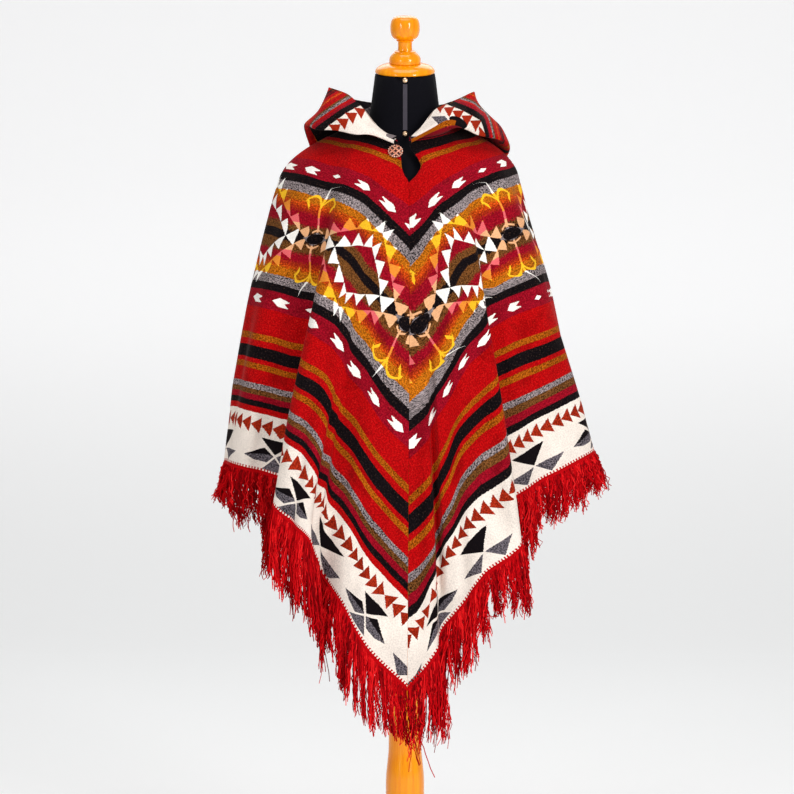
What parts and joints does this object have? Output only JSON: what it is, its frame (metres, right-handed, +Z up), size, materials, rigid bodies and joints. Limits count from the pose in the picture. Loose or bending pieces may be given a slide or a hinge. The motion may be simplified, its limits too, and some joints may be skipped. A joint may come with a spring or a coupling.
{
  "type": "andean poncho on dress form",
  "caption": "Hooded wool poncho with mitred banded panels, V hem and fringe, worn by a limbless dress form on a turned wooden post and round base.",
  "frame": {"origin": "middle of the whole part's floor plan, on the floor under the base", "axes": "+Z up, the wearer's front faces -Y, +X to the viewer's right seen from the front"},
  "size_m": [0.7225, 0.3898, 1.5976],
  "materials": {
    "cloth": "brushed woollen twill in red, magenta, black, grey, mustard and cream bands",
    "hood_cloth": "the same banded woollen twill",
    "fringe": "loose red wool yarn",
    "button": "copper-toned pressed face",
    "form_cover": "tight black jersey",
    "tape": "narrow grey ribbon",
    "tacks": "polished",
    "wood": "turned, orange-toned gloss varnish"
  },
  "bodies": {
    "root": {"panel_left": "cloth", "panel_right": "cloth", "hood_left": "hood_cloth", "hood_right": "hood_cloth", "fringe_left": "fringe", "fringe_right": "fringe", "button": "button", "form_body": "form_cover", "neck_tape": "tape", "tack_upper": "tacks", "tack_lower": "tacks", "neck_cap": "wood", "finial": "wood", "post": "wood", "base": "wood"}
  },
  "joints": []
}
